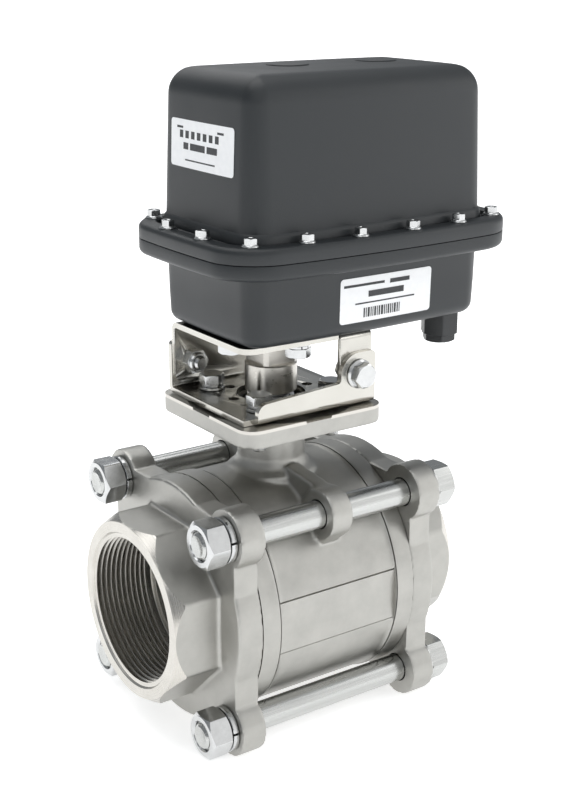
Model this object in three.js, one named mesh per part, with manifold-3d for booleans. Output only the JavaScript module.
// Motorised quarter-turn ball valve: a three-piece threaded stainless valve, a folded sheet bracket
// and an electric actuator that turns the stem through a short spur-gear train.
// Millimetres. +X runs along the pipe towards the outlet, +Z is up, and -Y is the side with the name flat.
// Inside the groups the origin is where the pipe axis meets the stem axis; the last lines set the
// whole valve down on the ground.
import * as THREE from 'three';
import { mergeVertices } from 'three/addons/utils/BufferGeometryUtils.js';
import Module from 'manifold-3d';

const wasm = await Module();
wasm.setup();

// ---- driving dimensions ----
const GAP = 0.3;                 // clearance left between neighbouring parts
const QUARTER = Math.PI / 4;
const ROUND = 32;                // facets on the large outer rounds
const CORE = 24;                 // facets on everything coaxial inside the valve

const HALF_LENGTH = 97;          // end face of each pipe end
const JOINT_FACE = 52.8;         // where the body meets an end cap
const FLANGE_RADIUS = 70.4;
const FLANGE_FACE = 68;          // outer face of the cap flange and its lugs
const WRENCH_START = 70.6;
const WRENCH_RADIUS = 55.8;      // corner radius of the octagonal wrench flats
const THREAD_RADIUS = 43.6;      // mean radius of the 3 inch pipe thread
const THREAD_END = 62;
const BORE_RADIUS = 38;          // full bore for 3 inch pipe
const BALL_RADIUS = 56;
const CAVITY_RADIUS = BALL_RADIUS + 1.7;
const SPIGOT_END = 35;           // how far in each cap's spigot reaches
const SEAT_RADIUS = 49.5;

const ROD_PLACE = 56.75;         // tie rods stand at (+-this, +-this) in Y and Z
const ROD_RADIUS = 8;            // M16
const ROD_HOLE = 8.6;
const LUG_RADIUS = 16.5;
const WASHER_THICKNESS = 3.4;
const ROD_NUT_THICKNESS = 13;
const ROD_NUT_ACROSS = 24;
const ROD_HEAD_THICKNESS = 12.5;
const FAR_LUG_X = 9.3;           // the body's +Y lug stands this far towards the outlet

const PAD_HALF = 47.5;           // square actuator pad on top of the neck
const PAD_TOP = 109.1;
const PAD_THICKNESS = 10.6;
const PAD_BOLT_PLACE = 24.75;    // 70 mm bolt circle
const NECK_RADIUS = 19.7;
const STEM_RADIUS = 11;
const PACKING_RADIUS = 15.2;

const SHEET = 3.2;               // bracket sheet thickness
const LOWER_BASE = PAD_TOP + GAP;
const LOWER_HALF = 42;
const LOWER_LENGTH = 43.2;       // half length of the lower bracket along the pipe
const UPPER_HALF = LOWER_HALF - SHEET - GAP;
const UPPER_TOP = 152.5;
const SIDE_BOLT_X = 31.5;
const SIDE_BOLT_Z = 128.4;
const BASE_SCREW_PLACE = 27;

const HOUSING_CENTRE = 36.8;     // the actuator overhangs the stem towards the outlet
const HOUSING_FLOOR = UPPER_TOP + GAP;
const RIM_UNDERSIDE = 193.5;
const RIM_JOINT = 202.2;
const RIM_TOP = 211.2;
const COVER_TOP = 296;
const RIM = { halfX: 99.7, halfY: 65, corner: 27, bowX: 2.7, bowY: 5 };
const BASIN = { halfX: 82, halfY: 49, corner: 12, bowX: 1.2, bowY: 2.4 };
const HOOD = { halfX: 82.5, halfY: 50, corner: 13.5, bowX: 1.2, bowY: 2.4 };
const WALL = 3.8;

const OUTPUT_MODULE = 1.5;
const OUTPUT_TEETH = 36;
const PINION_TEETH = 12;
const WHEEL_MODULE = 1.0;
const WHEEL_TEETH = 32;
const MOTOR_TEETH = 10;
const COUNTER_X = OUTPUT_MODULE * (OUTPUT_TEETH + PINION_TEETH) / 2;
const MOTOR_X = COUNTER_X + WHEEL_MODULE * (WHEEL_TEETH + MOTOR_TEETH) / 2;
const GEAR_BASE = 172;
const GEAR_PLATE_BASE = 189.6;
const GEAR_PLATE_TOP = 192.4;

// ---- finishes ----
const FINISH = {
  caststeel: { color: 0xb9b5ac, roughness: 0.46, metalness: 0.9 },
  polished: { color: 0xc4c7c8, roughness: 0.18, metalness: 1.0 },
  sheet: { color: 0xc2bfb8, roughness: 0.34, metalness: 0.95 },
  housing: { color: 0x3d4245, roughness: 0.55, metalness: 0.05 },
  black: { color: 0x1d1f21, roughness: 0.5, metalness: 0.0 },
  seat: { color: 0xeeece6, roughness: 0.5, metalness: 0.0 },
  gear: { color: 0x9c9a94, roughness: 0.4, metalness: 0.85 },
  bronze: { color: 0xa98245, roughness: 0.4, metalness: 0.9 },
  board: { color: 0x1f5a3a, roughness: 0.5, metalness: 0.0 },
  gasket: { color: 0x202020, roughness: 0.8, metalness: 0.0 },
};

// ---- solid helpers ----
function toSolid(geometry) {
  const bare = geometry.clone();
  bare.deleteAttribute('normal');
  bare.deleteAttribute('uv');
  const merged = mergeVertices(bare, 1e-4);
  return new wasm.Manifold(new wasm.Mesh({
    numProp: 3,
    vertProperties: new Float32Array(merged.attributes.position.array),
    triVerts: new Uint32Array(merged.index.array),
  }));
}

function toGeometry(solid) {
  const mesh = solid.getMesh();
  const geometry = new THREE.BufferGeometry();
  geometry.setAttribute('position', new THREE.BufferAttribute(mesh.vertProperties, 3));
  geometry.setIndex(new THREE.BufferAttribute(mesh.triVerts, 1));
  geometry.computeVertexNormals();
  return geometry;
}

function join(...geometries) {
  return toGeometry(geometries.map(toSolid).reduce((sum, next) => sum.add(next)));
}

function cut(geometry, ...tools) {
  return toGeometry(tools.map(toSolid).reduce((rest, tool) => rest.subtract(tool), toSolid(geometry)));
}

function overlap(first, second) {
  return toGeometry(toSolid(first).intersect(toSolid(second)));
}

function moved(geometry, x, y, z) {
  return geometry.clone().translate(x, y, z);
}

// ---- shape helpers ----
function block(x0, x1, y0, y1, z0, z1) {
  const box = new THREE.BoxGeometry(x1 - x0, y1 - y0, z1 - z0);
  return box.translate((x0 + x1) / 2, (y0 + y1) / 2, (z0 + z1) / 2);
}

function turned(profile, segments, axis = 'z') {
  // profile lists [radius, distance along the axis], anticlockwise
  const geometry = new THREE.LatheGeometry(profile.map(([r, h]) => new THREE.Vector2(r, h)), segments);
  return axis === 'z' ? geometry.rotateX(Math.PI / 2) : geometry.rotateZ(-Math.PI / 2);
}

function rod(radius, from, to, segments = 24, axis = 'z') {
  return turned([[0, from], [radius, from], [radius, to], [0, to]], segments, axis);
}

function ring(inner, outer, from, to, segments = 32, axis = 'z') {
  const profile = [[inner, from], [outer, from], [outer, to], [inner, to], [inner, from]];
  return turned(profile, segments, axis);
}

function polygon(corners) {
  return new THREE.Shape(corners.map(([x, y]) => new THREE.Vector2(x, y)));
}

function regular(sides, acrossFlats, phase = 0) {
  const radius = acrossFlats / 2 / Math.cos(Math.PI / sides);
  const corner = (i) => phase + (i * 2 * Math.PI) / sides;
  const spots = Array.from({ length: sides }, (_, i) => [radius * Math.cos(corner(i)), radius * Math.sin(corner(i))]);
  return polygon(spots);
}

function roundedRectangle(x0, x1, y0, y1, radius) {
  const shape = new THREE.Shape();
  shape.absarc(x1 - radius, y1 - radius, radius, 0, Math.PI / 2);
  shape.absarc(x0 + radius, y1 - radius, radius, Math.PI / 2, Math.PI);
  shape.absarc(x0 + radius, y0 + radius, radius, Math.PI, 1.5 * Math.PI);
  shape.absarc(x1 - radius, y0 + radius, radius, 1.5 * Math.PI, 2 * Math.PI);
  return shape;
}

// extrude a shape: 'z' keeps its plane, 'x' draws it in YZ, 'y' draws it in XZ
function extruded(shape, from, to, axis = 'z', curveSegments = 4) {
  const solid = new THREE.ExtrudeGeometry(shape, { depth: to - from, bevelEnabled: false, curveSegments });
  solid.translate(0, 0, from);
  if (axis === 'x') {
    const toYZ = new THREE.Matrix4().makeBasis(
      new THREE.Vector3(0, 1, 0), new THREE.Vector3(0, 0, 1), new THREE.Vector3(1, 0, 0));
    solid.applyMatrix4(toYZ);
  }
  if (axis === 'y') {
    const toXZ = new THREE.Matrix4().makeBasis(
      new THREE.Vector3(1, 0, 0), new THREE.Vector3(0, 0, 1), new THREE.Vector3(0, -1, 0));
    solid.applyMatrix4(toXZ);
  }
  return solid;
}

// rounded rectangle whose four sides bulge a little, grown or shrunk by `grow`
function bowedOutline(form, grow = 0) {
  const halfX = form.halfX + grow;
  const halfY = form.halfY + grow;
  const corner = Math.max(form.corner + grow, 3);
  const cornerSteps = 4;
  const sideSteps = [3, 4];
  const points = [];
  for (let quarter = 0; quarter < 4; quarter += 1) {
    const signX = quarter === 0 || quarter === 3 ? 1 : -1;
    const signY = quarter < 2 ? 1 : -1;
    const centre = new THREE.Vector2(signX * (halfX - corner), signY * (halfY - corner));
    for (let step = 0; step <= cornerSteps; step += 1) {
      const angle = (quarter + step / cornerSteps) * (Math.PI / 2);
      points.push(new THREE.Vector2(Math.cos(angle), Math.sin(angle)).multiplyScalar(corner).add(centre));
    }
    const along = quarter % 2 === 0 ? new THREE.Vector2(-signX, 0) : new THREE.Vector2(0, -signY);
    const length = 2 * (quarter % 2 === 0 ? halfX - corner : halfY - corner);
    const steps = sideSteps[quarter % 2 === 0 ? 1 : 0];
    const start = points.at(-1);
    for (let step = 1; step < steps; step += 1) {
      points.push(start.clone().addScaledVector(along, (length * step) / steps));
    }
  }
  return points.map((p) => new THREE.Vector2(
    p.x - Math.sign(p.x) * form.bowX * (p.y / halfY) ** 2 * Math.abs(p.x / halfX) + HOUSING_CENTRE,
    p.y - Math.sign(p.y) * form.bowY * (p.x / halfX) ** 2 * Math.abs(p.y / halfY)));
}

// closed solid through a stack of outlines, each with the same number of points
function lofted(levels) {
  const count = levels[0].outline.length;
  const positions = levels.flatMap(({ outline, z }) => outline.flatMap((p) => [p.x, p.y, z]));
  const faces = [];
  for (let level = 0; level + 1 < levels.length; level += 1) {
    for (let i = 0; i < count; i += 1) {
      const a = level * count + i;
      const b = level * count + ((i + 1) % count);
      faces.push(a, b, b + count, a, b + count, a + count);
    }
  }
  const middle = positions.length / 3;
  positions.push(HOUSING_CENTRE, 0, levels[0].z, HOUSING_CENTRE, 0, levels.at(-1).z);
  const last = (levels.length - 1) * count;
  for (let i = 0; i < count; i += 1) {
    const next = (i + 1) % count;
    faces.push(middle, next, i, middle + 1, last + i, last + next);
  }
  const geometry = new THREE.BufferGeometry();
  geometry.setAttribute('position', new THREE.Float32BufferAttribute(positions, 3));
  geometry.setIndex(faces);
  return geometry;
}

// spur gear outline: trapezoid teeth with backlash, a tooth centred on angle `phase`
function gearShape(module, teeth, phase, boreRadius) {
  const pitch = (module * teeth) / 2;
  const tip = pitch + 0.9 * module;
  const root = pitch - 1.2 * module;
  const step = (2 * Math.PI) / teeth;
  const corners = [[-0.33, root], [-0.11, tip], [0.11, tip], [0.33, root]];
  const outline = [];
  for (let tooth = 0; tooth < teeth; tooth += 1) {
    for (const [share, radius] of corners) {
      const angle = phase + (tooth + share) * step;
      outline.push([radius * Math.cos(angle), radius * Math.sin(angle)]);
    }
  }
  const shape = polygon(outline);
  if (boreRadius > 0) {
    shape.holes.push(new THREE.Path().absarc(0, 0, boreRadius, 0, 2 * Math.PI, true));
  }
  return shape;
}

function add(group, name, geometry, finish) {
  const material = new THREE.MeshStandardMaterial(FINISH[finish]);
  const mesh = new THREE.Mesh(geometry, material);
  mesh.name = name;
  group.add(mesh);
  return mesh;
}

const ROD_SPOTS = [[-1, 1], [1, 1], [-1, -1], [1, -1]].map(([y, z]) => [y * ROD_PLACE, z * ROD_PLACE]);

// ---- valve body: drum, actuator neck and pad, two rod lugs with ribs ----
function bodyLugs() {
  const parts = [];
  for (const side of [-1, 1]) {
    const spot = side * ROD_PLACE;
    const along = side > 0 ? FAR_LUG_X : 0;
    parts.push(moved(rod(14.5, -7, 7, 16, 'x'), along, spot, ROD_PLACE));
    const web = polygon([[side * 30, 48], [side * 48, 30], [side * 67, 46.5], [side * 46.5, 67]]);
    const facing = side < 0 ? polygon(web.getPoints().reverse().map((p) => [p.x, p.y])) : web;
    parts.push(extruded(facing, along - 6, along + 6, 'x'));
    const rib = polygon([[side * 10, 62], [side * 52, 52], [side * 62, 70], [side * 50, 70.5], [side * 22, 74.5]]);
    parts.push(extruded(rib, along - 5, along + 5, 'x'));
  }
  return parts;
}

function valveBody() {
  const band = 40.8;
  const drum = turned([
    [0, -JOINT_FACE + GAP / 2], [FLANGE_RADIUS, -JOINT_FACE + GAP / 2], [FLANGE_RADIUS, -band],
    [69.2, -band], [69.2, band], [FLANGE_RADIUS, band],
    [FLANGE_RADIUS, JOINT_FACE - GAP / 2], [0, JOINT_FACE - GAP / 2]], ROUND, 'x');
  const neck = rod(NECK_RADIUS, 60, PAD_TOP - PAD_THICKNESS + 1, 24);
  const hub = extruded(regular(8, 46, Math.PI / 8), PAD_TOP - PAD_THICKNESS - 4.5, PAD_TOP - PAD_THICKNESS + 1);
  const pad = extruded(roundedRectangle(-PAD_HALF, PAD_HALF, -PAD_HALF, PAD_HALF, 10),
    PAD_TOP - PAD_THICKNESS, PAD_TOP);
  const outside = join(drum, neck, hub, pad, ...bodyLugs());
  const nameFlat = block(-40.5, 40.5, -80, -67.5, -25, 25);
  const cavity = rod(CAVITY_RADIUS, -60, 60, CORE, 'x');
  const sealGrooves = [-1, 1].map((side) => {
    const face = side * (JOINT_FACE + 1);
    const floor = side * (JOINT_FACE - 2.6);
    return ring(59, 63, Math.min(face, floor), Math.max(face, floor), CORE, 'x');
  });
  const stemWell = turned([
    [0, 50], [15.2, 50], [15.2, 65.3], [STEM_RADIUS + 0.5, 65.3], [STEM_RADIUS + 0.5, 78],
    [PACKING_RADIUS + GAP, 78], [PACKING_RADIUS + GAP, 99.1], [18.5, 99.1],
    [18.5, PAD_TOP + 5], [0, PAD_TOP + 5]], 20);
  const rodHoles = [-1, 1].map((side) => moved(rod(ROD_HOLE, -9, 19, 12, 'x'), 0, side * ROD_PLACE, ROD_PLACE));
  const boltHoles = [-1, 1].flatMap((x) => [-1, 1].map((y) => moved(
    rod(4.5, PAD_TOP - PAD_THICKNESS - 6, PAD_TOP + 2, 8), x * PAD_BOLT_PLACE, y * PAD_BOLT_PLACE, 0)));
  const padRecess = rod(48.3, PAD_TOP - 1.2, PAD_TOP + 2, 24);
  return cut(outside, nameFlat, cavity, ...sealGrooves, stemWell, padRecess, ...rodHoles, ...boltHoles);
}

// ---- end cap, drawn for the outlet: flange with four lugs, wrench octagon, threaded socket, spigot ----
function endCap() {
  const inner = JOINT_FACE + GAP / 2;
  const flange = rod(FLANGE_RADIUS, inner, FLANGE_FACE, ROUND, 'x');
  const lugs = ROD_SPOTS.map(([y, z]) => moved(rod(LUG_RADIUS, inner, FLANGE_FACE, 16, 'x'), 0, y, z));
  const webHalf = 20;
  const web = polygon([[30, -webHalf], [74, -LUG_RADIUS], [74, LUG_RADIUS], [30, webHalf]]);
  const webs = [1, 3, 5, 7].map((eighth) => extruded(web, inner, FLANGE_FACE, 'x').rotateX(eighth * QUARTER));
  const shoulder = turned([[0, 66], [66, 66], [66, FLANGE_FACE], [57, FLANGE_FACE + 1.2], [0, FLANGE_FACE + 1.2]],
    32, 'x');
  const octagon = extruded(regular(8, 2 * WRENCH_RADIUS * Math.cos(Math.PI / 8), Math.PI / 8),
    FLANGE_FACE - 1, HALF_LENGTH, 'x');
  const chamfer = turned([
    [0, 60], [60, 60], [60, HALF_LENGTH - 13.8], [51.4, HALF_LENGTH], [0, HALF_LENGTH]], 32, 'x');
  const spigot = rod(CAVITY_RADIUS - GAP, SPIGOT_END, inner + 1, CORE, 'x');
  const outside = join(flange, ...lugs, ...webs, shoulder, overlap(octagon, chamfer), spigot);
  const bore = turned([
    [0, SPIGOT_END - 5], [SEAT_RADIUS + GAP, SPIGOT_END - 5], [SEAT_RADIUS + GAP, 50.3],
    [BORE_RADIUS, 50.3], [BORE_RADIUS, THREAD_END], [THREAD_RADIUS, THREAD_END + 3],
    [THREAD_RADIUS, HALF_LENGTH - 2], [45.2, HALF_LENGTH + 1], [0, HALF_LENGTH + 1]], CORE, 'x');
  const rodHoles = ROD_SPOTS.map(([y, z]) => moved(rod(ROD_HOLE, 48, 72, 12, 'x'), 0, y, z));
  return cut(outside, bore, ...rodHoles);
}

// ---- floating ball with its through bore and the slot for the stem tang ----
function ball() {
  const sphere = new THREE.SphereGeometry(BALL_RADIUS, 28, 14).rotateX(Math.PI / 2);
  const bore = rod(BORE_RADIUS, -60, 60, CORE, 'x');
  const slot = block(-5, 5, -11, 11, 46, 60);
  return cut(sphere, bore, slot);
}

// ---- seat ring: its inner face follows the ball ----
function seat() {
  const reach = BALL_RADIUS + 0.5;
  const onBall = (radius) => [radius, Math.sqrt(reach ** 2 - radius ** 2)];
  return turned([
    [38.3, 50], onBall(38.3), onBall(42.3), onBall(45.5), [SEAT_RADIUS, 34], [SEAT_RADIUS, 50],
    [38.3, 50]], CORE, 'x');
}

// ---- stem: tang, blow-out shoulder, round shaft, square drive end ----
function stem() {
  const shaft = turned([
    [0, 57.5], [14.5, 57.5], [14.5, 62.7], [STEM_RADIUS, 62.7], [STEM_RADIUS, 112], [0, 112]], 20);
  const tang = block(-4.7, 4.7, -10.5, 10.5, 46.3, 59);
  const drive = overlap(rod(STEM_RADIUS, 111, 129, 20), block(-8.5, 8.5, -8.5, 8.5, 111, 129));
  return join(shaft, tang, drive);
}

function discSpring() {
  return turned([[11.4, 102.2], [17.5, 100.9], [17.5, 101.9], [11.4, 103.2], [11.4, 102.2]], 20);
}

function hexNut(across, from, to, boreRadius, axis, phase, segments = 16) {
  const body = extruded(regular(6, across, phase), from, to, axis);
  return cut(body, rod(boreRadius, from - 1, to + 1, segments, axis));
}

// ---- tie rod: hex head at the outlet cap, washer, plain shank, stud end at the inlet cap ----
function tieBolt() {
  const headFace = FLANGE_FACE + GAP;
  const stud = turned([
    [0, -85.8], [6.2, -85.8], [ROD_RADIUS, -84.3], [ROD_RADIUS, headFace + 1], [0, headFace + 1]], 12, 'x');
  const washer = rod(13.4, headFace, headFace + 2.6, 16, 'x');
  const head = extruded(regular(6, ROD_NUT_ACROSS, 0), headFace + 2, headFace + 2.6 + ROD_HEAD_THICKNESS, 'x');
  return join(stud, washer, head);
}

function lockWasher() {
  const outer = -FLANGE_FACE - GAP;
  const split = block(outer - 10, outer + 5, -1, 1, 7, 16);
  return cut(ring(8.6, 12.9, outer - WASHER_THICKNESS, outer, 16, 'x'), split);
}

// ---- the valve ----
const valve = new THREE.Group();
add(valve, 'valve_body', valveBody(), 'caststeel');
add(valve, 'end_cap_inlet', endCap(), 'caststeel').rotation.z = Math.PI;
add(valve, 'end_cap_outlet', endCap(), 'caststeel');
add(valve, 'ball', ball(), 'polished');
add(valve, 'seat_inlet', seat(), 'seat').rotation.z = Math.PI;
add(valve, 'seat_outlet', seat(), 'seat');
const seal = () => ring(59.3, 62.7, JOINT_FACE - 2.3, JOINT_FACE - 0.2, CORE, 'x');
add(valve, 'body_seal_inlet', seal(), 'seat').rotation.z = Math.PI;
add(valve, 'body_seal_outlet', seal(), 'seat');
add(valve, 'stem', stem(), 'polished');
add(valve, 'thrust_washer', ring(11.5, 14.5, 63, 65, 16), 'seat');
add(valve, 'stem_packing', ring(11.4, PACKING_RADIUS, 78.3, 94, 20), 'seat');
add(valve, 'packing_gland', ring(11.4, PACKING_RADIUS, 94.3, 100.6, 20), 'polished');
add(valve, 'disc_spring', discSpring(), 'polished');
add(valve, 'stem_nut', hexNut(27, 103.6, 110.8, 11.4, 'z', 0, 20), 'polished');
ROD_SPOTS.forEach(([y, z], i) => {
  const number = i + 1;
  const nutFrom = -FLANGE_FACE - WASHER_THICKNESS - 2 * GAP;
  const nut = hexNut(ROD_NUT_ACROSS, nutFrom - ROD_NUT_THICKNESS, nutFrom, 8.6, 'x', 0, 12);
  add(valve, `tie_bolt_${number}`, tieBolt(), 'polished').position.set(0, y, z);
  add(valve, `tie_nut_${number}`, nut, 'polished').position.set(0, y, z);
  add(valve, `lock_washer_${number}`, lockWasher(), 'polished').position.set(0, y, z);
});

// ---- lower bracket: base on the pad, a low wall with one ear each side, half-turn symmetric ----
function earWall() {
  const low = 124.6;
  const ear = 12.3;
  const top = SIDE_BOLT_Z + ear;
  const shape = new THREE.Shape();
  shape.moveTo(LOWER_LENGTH, LOWER_BASE + 1);
  shape.lineTo(LOWER_LENGTH, top - 3);
  shape.absarc(LOWER_LENGTH - 3, top - 3, 3, 0, Math.PI / 2);
  shape.absarc(SIDE_BOLT_X, SIDE_BOLT_Z, ear, Math.PI / 2, Math.PI);
  shape.lineTo(SIDE_BOLT_X - ear, low + 1);
  shape.lineTo(SIDE_BOLT_X - ear - 1, low);
  shape.lineTo(-30, low - 3);
  shape.absarc(-30.8, low - 9, 6, Math.PI / 2, Math.PI);
  shape.lineTo(-36.8, LOWER_BASE + 1);
  return extruded(shape, LOWER_HALF - SHEET, LOWER_HALF, 'y');
}

function lowerBracket() {
  const base = extruded(roundedRectangle(-LOWER_LENGTH, LOWER_LENGTH, -LOWER_HALF, LOWER_HALF, 3),
    LOWER_BASE, LOWER_BASE + SHEET);
  const shape = join(base, earWall(), earWall().rotateZ(Math.PI));
  const holes = [rod(20, 100, 118, 20)];
  for (const [x, y] of [[1, 1], [-1, 1], [-1, -1], [1, -1]]) {
    holes.push(moved(rod(4.6, 100, 118, 8), x * PAD_BOLT_PLACE, y * PAD_BOLT_PLACE, 0));
  }
  for (const [x, y] of [[25.5, 0], [-25.5, 0], [15, -20.6], [-15, 20.6]]) {
    holes.push(moved(rod(3.2, 100, 118, 8), x, y, 0));
  }
  const sideHole = () => extruded(new THREE.Shape().absarc(SIDE_BOLT_X, SIDE_BOLT_Z, 4.5, 0, 2 * Math.PI),
    30, 50, 'y', 4);
  holes.push(sideHole(), sideHole().rotateZ(Math.PI));
  return cut(shape, ...holes);
}

// ---- upper bracket: plate under the actuator with two legs bolted inside the lower ears ----
function upperLeg(from) {
  const foot = 121.5;
  const shape = new THREE.Shape();
  shape.moveTo(42.8, UPPER_TOP - 1);
  shape.lineTo(from, UPPER_TOP - 1);
  shape.lineTo(from, foot);
  shape.absarc(from + 6, foot, 6, Math.PI, 1.5 * Math.PI);
  shape.absarc(36.8, foot, 6, 1.5 * Math.PI, 2 * Math.PI);
  return extruded(shape, UPPER_HALF - SHEET, UPPER_HALF, 'y');
}

function upperBracket() {
  const plate = extruded(roundedRectangle(-42.8, 42.8, -UPPER_HALF, UPPER_HALF, 8), UPPER_TOP - SHEET, UPPER_TOP);
  const shape = join(plate, upperLeg(21.3), upperLeg(-8).rotateZ(Math.PI));
  const holes = [rod(15, 140, 160, 16)];
  for (const [x, y] of [[1, 0], [0, 1], [-1, 0], [0, -1]]) {
    holes.push(moved(rod(4.6, 140, 160, 8), x * BASE_SCREW_PLACE, y * BASE_SCREW_PLACE, 0));
  }
  const sideHole = () => extruded(new THREE.Shape().absarc(SIDE_BOLT_X, SIDE_BOLT_Z, 4.5, 0, 2 * Math.PI),
    30, 50, 'y', 4);
  holes.push(sideHole(), sideHole().rotateZ(Math.PI));
  return cut(shape, ...holes);
}

// ---- M8 bolt pointing down, standing on `face`; washers are drawn with the head ----
function bolt(face, tip, sunk) {
  const shank = rod(4, tip, face + 1, 8);
  const washers = turned([[0, face], [7.6, face], [7.6, face + 1.6], [6.6, face + 1.6], [6.6, face + 3.6],
    [0, face + 3.6]], 12);
  const head = extruded(regular(6, 13, sunk), face + 3.2, face + 3.6 + 5.3);
  return join(shank, washers, head);
}

function coupling() {
  const sleeve = rod(15.1, 114.5, 131.6, 24);
  const neck = overlap(block(-11.2, 11.2, -11.2, 11.2, 131, 149.5), rod(14.2, 130, 149.5, 16));
  const stemSocket = block(-8.8, 8.8, -8.8, 8.8, 113, 130);
  const shaftSocket = block(-7.3, 7.3, -7.3, 7.3, 133, 152);
  return cut(join(sleeve, neck), stemSocket, shaftSocket);
}

const bracketGroup = new THREE.Group();
add(bracketGroup, 'lower_bracket', lowerBracket(), 'sheet');
add(bracketGroup, 'upper_bracket', upperBracket(), 'sheet');
[[-1, -1], [1, -1], [1, 1], [-1, 1]].forEach(([x, y], i) => {
  const padBolt = bolt(LOWER_BASE + SHEET + GAP, PAD_TOP - PAD_THICKNESS - 10, 0);
  add(bracketGroup, `pad_bolt_${i + 1}`, padBolt, 'polished').position.set(x * PAD_BOLT_PLACE, y * PAD_BOLT_PLACE, 0);
});
[[0, -1], [1, 0], [0, 1], [-1, 0]].forEach(([x, y], i) => {
  // the same bolt turned upside down, reaching up into the actuator base
  const face = UPPER_TOP - SHEET - GAP;
  const screw = bolt(-face, -face - 14, 0).rotateX(Math.PI);
  add(bracketGroup, `base_screw_${i + 1}`, screw, 'polished')
    .position.set(x * BASE_SCREW_PLACE, y * BASE_SCREW_PLACE, 0);
});
[0, Math.PI].forEach((turn, i) => {
  const outer = LOWER_HALF + GAP;
  const shank = rod(4, -outer - 1, -24, 8);
  const flange = turned([[0, -outer - 1.6], [8.5, -outer - 1.6], [8.5, -outer], [0, -outer]], 12);
  const head = extruded(regular(6, 13, 0), -outer - 7.5, -outer - 1);
  const side = join(shank, flange, head).rotateX(-Math.PI / 2);
  const inner = UPPER_HALF - SHEET - GAP;
  const nut = cut(
    join(extruded(regular(6, 13, 0), -inner, -inner + 6), rod(6, -inner, -inner + 8, 12)),
    rod(4.6, -inner - 1, -inner + 9, 8)).rotateX(-Math.PI / 2);
  const pivot = new THREE.Group();
  pivot.rotation.z = turn;
  bracketGroup.add(pivot);
  add(pivot, `side_bolt_${i + 1}`, side, 'polished').position.set(SIDE_BOLT_X, 0, SIDE_BOLT_Z);
  add(pivot, `side_nut_${i + 1}`, nut, 'polished').position.set(SIDE_BOLT_X, 0, SIDE_BOLT_Z);
});
add(bracketGroup, 'coupling', coupling(), 'sheet');

// ---- actuator lower housing: drafted basin, rim, bosses for bush, pin and gear plate ----
const PLATE_POSTS = [[-31, -33], [-31, 33], [104, -33], [104, 33]];

function lowerHousing() {
  const basin = lofted([
    { outline: bowedOutline(BASIN, -6), z: HOUSING_FLOOR },
    { outline: bowedOutline(BASIN, -2.6), z: HOUSING_FLOOR + 1.6 },
    { outline: bowedOutline(BASIN, -1.2), z: HOUSING_FLOOR + 6 },
    { outline: bowedOutline(BASIN), z: RIM_UNDERSIDE + 1 }]);
  const rim = lofted([
    { outline: bowedOutline(RIM, -3), z: RIM_UNDERSIDE },
    { outline: bowedOutline(RIM), z: RIM_UNDERSIDE + 4 },
    { outline: bowedOutline(RIM), z: RIM_JOINT }]);
  const hollow = lofted([
    { outline: bowedOutline(BASIN, -WALL - 2), z: HOUSING_FLOOR + WALL },
    { outline: bowedOutline(BASIN, -WALL), z: RIM_JOINT + 1 }]);
  const shell = cut(join(basin, rim), hollow);
  const bushBoss = rod(18, HOUSING_FLOOR + 2, 169.5, 20);
  const pinBoss = moved(rod(5.5, HOUSING_FLOOR + 2, 169.5, 8), COUNTER_X, 0, 0);
  const posts = PLATE_POSTS.map(([x, y]) => moved(rod(4, HOUSING_FLOOR + 2, GEAR_PLATE_BASE - GAP, 8), x, y, 0));
  const screwBosses = [[1, 0], [0, 1], [-1, 0], [0, -1]].map(([x, y]) => moved(
    rod(7.5, HOUSING_FLOOR + 2, 168, 10), x * BASE_SCREW_PLACE, y * BASE_SCREW_PLACE, 0));
  const screwHoles = [[1, 0], [0, 1], [-1, 0], [0, -1]].map(([x, y]) => moved(
    rod(4.7, HOUSING_FLOOR - 1, 166.2, 8), x * BASE_SCREW_PLACE, y * BASE_SCREW_PLACE, 0));
  const gasketGroove = cut(
    lofted([{ outline: bowedOutline(BASIN, 5.4), z: RIM_JOINT - 2.6 },
      { outline: bowedOutline(BASIN, 5.4), z: RIM_JOINT + 1 }]),
    lofted([{ outline: bowedOutline(BASIN, 1.8), z: RIM_JOINT - 3 },
      { outline: bowedOutline(BASIN, 1.8), z: RIM_JOINT + 2 }]));
  const glandHole = moved(rod(7.1, HOUSING_FLOOR - 2, HOUSING_FLOOR + 12, 12), GLAND_X, GLAND_Y, 0);
  return cut(
    join(shell, bushBoss, pinBoss, ...posts, ...screwBosses),
    rod(14.4, HOUSING_FLOOR - 2, 172, 20), moved(rod(3.4, 161, 172, 10), COUNTER_X, 0, 0),
    gasketGroove, glandHole, ...screwHoles);
}

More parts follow.
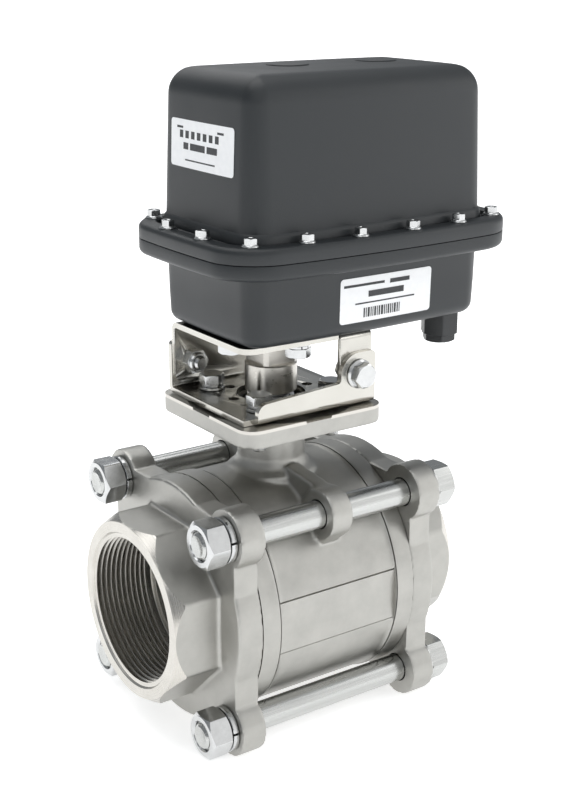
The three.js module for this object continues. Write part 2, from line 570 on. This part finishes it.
// ---- cover: tall drafted hood with rounded top edges on the upper half of the rim ----
function cover() {
  const rim = lofted([
    { outline: bowedOutline(RIM), z: RIM_JOINT + GAP },
    { outline: bowedOutline(RIM), z: RIM_TOP - 3 },
    { outline: bowedOutline(RIM, -1.2), z: RIM_TOP - 0.8 },
    { outline: bowedOutline(RIM, -3), z: RIM_TOP }]);
  const edge = 15;
  const draft = 2.4;
  const topCurve = [0, 1, 2, 3, 4].map((step) => {
    const angle = (step / 4) * (Math.PI / 2);
    return { outline: bowedOutline(HOOD, -draft - edge * (1 - Math.cos(angle))),
      z: COVER_TOP - edge * (1 - Math.sin(angle)) };
  });
  const hood = lofted([
    { outline: bowedOutline(HOOD, 1.6), z: RIM_TOP - 1 },
    { outline: bowedOutline(HOOD), z: RIM_TOP + 3.6 }, ...topCurve]);
  const hollow = lofted([
    { outline: bowedOutline(HOOD, -WALL), z: RIM_JOINT },
    { outline: bowedOutline(HOOD, -WALL - draft), z: COVER_TOP - edge },
    { outline: bowedOutline(HOOD, -WALL - draft - 3.8), z: COVER_TOP - edge / 2 },
    { outline: bowedOutline(HOOD, -WALL - draft - 11), z: COVER_TOP - WALL }]);
  const blindPads = [COVER_PAD_LEFT, COVER_PAD_RIGHT].map((x) => moved(
    rod(COVER_PAD_RADIUS, COVER_TOP - 2, COVER_TOP + 0.8, 16), x, COVER_PAD_Y, 0));
  return cut(join(rim, hood, ...blindPads), hollow);
}

function coverGasket() {
  const level = (grow) => [
    { outline: bowedOutline(BASIN, grow), z: RIM_JOINT - 2.3 },
    { outline: bowedOutline(BASIN, grow), z: RIM_JOINT }];
  const inside = [
    { outline: bowedOutline(BASIN, 2.1), z: RIM_JOINT - 4 },
    { outline: bowedOutline(BASIN, 2.1), z: RIM_JOINT + 1 }];
  return cut(lofted(level(5.1)), lofted(inside));
}

// ---- gear train: output gear on the shaft, two-step counter gear, motor pinion ----
function outputShaft() {
  const drive = overlap(rod(9.6, 134, 155, 16), block(-7, 7, -7, 7, 134, 155));
  const round = turned([[0, 153.5], [STEM_RADIUS, 153.5], [STEM_RADIUS, GEAR_BASE - GAP],
    [8, GEAR_BASE - GAP], [8, 199], [0, 199]], 20);
  return join(drive, round);
}

function outputGear() {
  const wheel = extruded(gearShape(OUTPUT_MODULE, OUTPUT_TEETH, 0, 10), GEAR_BASE, GEAR_BASE + 8, 'z', 8);
  const hub = ring(8.5, 14, GEAR_BASE, GEAR_BASE + 11, 16);
  return join(wheel, hub);
}

function intermediateGear() {
  // the pinion has a gap towards the output gear's tooth, and the wheel a tooth towards the motor
  const pinionPhase = Math.PI / PINION_TEETH + Math.PI;
  const pinion = extruded(gearShape(OUTPUT_MODULE, PINION_TEETH, pinionPhase, 3.4), 171.4, 182, 'z', 5);
  const wheel = extruded(gearShape(WHEEL_MODULE, WHEEL_TEETH, 0, 3.4), 181.4, 187, 'z', 5);
  return moved(join(pinion, wheel), COUNTER_X, 0, 0);
}

function motorPinion() {
  const phase = Math.PI / MOTOR_TEETH + Math.PI;
  const teeth = extruded(gearShape(WHEEL_MODULE, MOTOR_TEETH, phase, 0), 181, 188.2);
  return moved(join(teeth, rod(2.5, 188, 198, 12)), MOTOR_X, 0, 0);
}

function motor() {
  const base = GEAR_PLATE_TOP + GAP;
  const can = turned([[0, base], [17.5, base], [17.5, base + 62], [14, base + 65], [6, base + 65],
    [6, base + 68], [0, base + 68]], 20);
  return moved(cut(can, rod(3, base - 1, base + 7, 12)), MOTOR_X, 0, 0);
}

function gearPlate() {
  const plate = extruded(roundedRectangle(-35, 107.5, -36.5, 36.5, 6), GEAR_PLATE_BASE, GEAR_PLATE_TOP);
  const boardPosts = BOARD_POSTS.map(([x, y]) => moved(
    rod(3, GEAR_PLATE_TOP - 1, BOARD_BASE - GAP, 6), x, y, 0));
  return cut(join(plate, ...boardPosts), rod(8.5, 180, 200, 20),
    moved(rod(7.5, 180, 200, 12), MOTOR_X, 0, 0), moved(rod(3.4, 180, 200, 10), COUNTER_X, 0, 0));
}

const GLAND_X = 106;
const GLAND_Y = -24;
const COVER_PAD_LEFT = 18;
const COVER_PAD_RIGHT = 80;
const COVER_PAD_Y = 10;
const COVER_PAD_RADIUS = 12;
const BOARD_BASE = 205;
const BOARD_POSTS = [[-28, -28], [-28, 28], [24, -28], [24, 28]];

function circuitBoard() {
  const board = block(-36, 32, -36, 36, BOARD_BASE, BOARD_BASE + 1.6);
  const parts = [
    block(-30, -12, -30, -14, BOARD_BASE + 1, BOARD_BASE + 16),
    block(-30, -12, -8, 8, BOARD_BASE + 1, BOARD_BASE + 16),
    moved(rod(6, BOARD_BASE + 1, BOARD_BASE + 26, 16), 14, -20, 0),
    moved(rod(6, BOARD_BASE + 1, BOARD_BASE + 26, 16), 14, -4, 0),
    block(-6, 28, 22, 33, BOARD_BASE + 1, BOARD_BASE + 13)];
  return join(board, ...parts);
}

function cableGland() {
  const body = extruded(regular(6, 20, Math.PI / 6), 137, HOUSING_FLOOR - GAP);
  const nut = extruded(regular(6, 17.5, Math.PI / 6), 132.8, 138);
  const thread = rod(6.6, HOUSING_FLOOR - 1, HOUSING_FLOOR + 9, 16);
  return moved(cut(join(body, nut, thread), rod(3.6, 131, HOUSING_FLOOR + 12, 12)), GLAND_X, GLAND_Y, 0);
}

const actuator = new THREE.Group();
add(actuator, 'lower_housing', lowerHousing(), 'housing');
add(actuator, 'cover', cover(), 'housing');
add(actuator, 'cover_gasket', coverGasket(), 'gasket');
add(actuator, 'output_shaft', outputShaft(), 'polished');
add(actuator, 'shaft_bush', ring(11.4, 14, HOUSING_FLOOR + 0.5, 170, 20), 'bronze');
add(actuator, 'output_gear', outputGear(), 'gear');
add(actuator, 'intermediate_gear', intermediateGear(), 'gear');
add(actuator, 'intermediate_pin', moved(rod(3, 161.3, GEAR_PLATE_TOP, 10), COUNTER_X, 0, 0), 'polished');
add(actuator, 'motor', motor(), 'black');
add(actuator, 'motor_pinion', motorPinion(), 'bronze');
add(actuator, 'gear_plate', gearPlate(), 'sheet');
add(actuator, 'circuit_board', circuitBoard(), 'board');
add(actuator, 'position_magnet', rod(5, 199 + GAP, 202.3, 16), 'black');
add(actuator, 'cable_gland', cableGland(), 'black');

// ---- set the whole valve down: lowest lug on the ground, middle of its length over the origin ----
const motorisedValve = new THREE.Group();
motorisedValve.add(valve, bracketGroup, actuator);
const extent = new THREE.Box3().setFromObject(motorisedValve, true);
const middle = extent.getCenter(new THREE.Vector3());
motorisedValve.position.set(-middle.x, -middle.y, -extent.min.z);
export default motorisedValve;
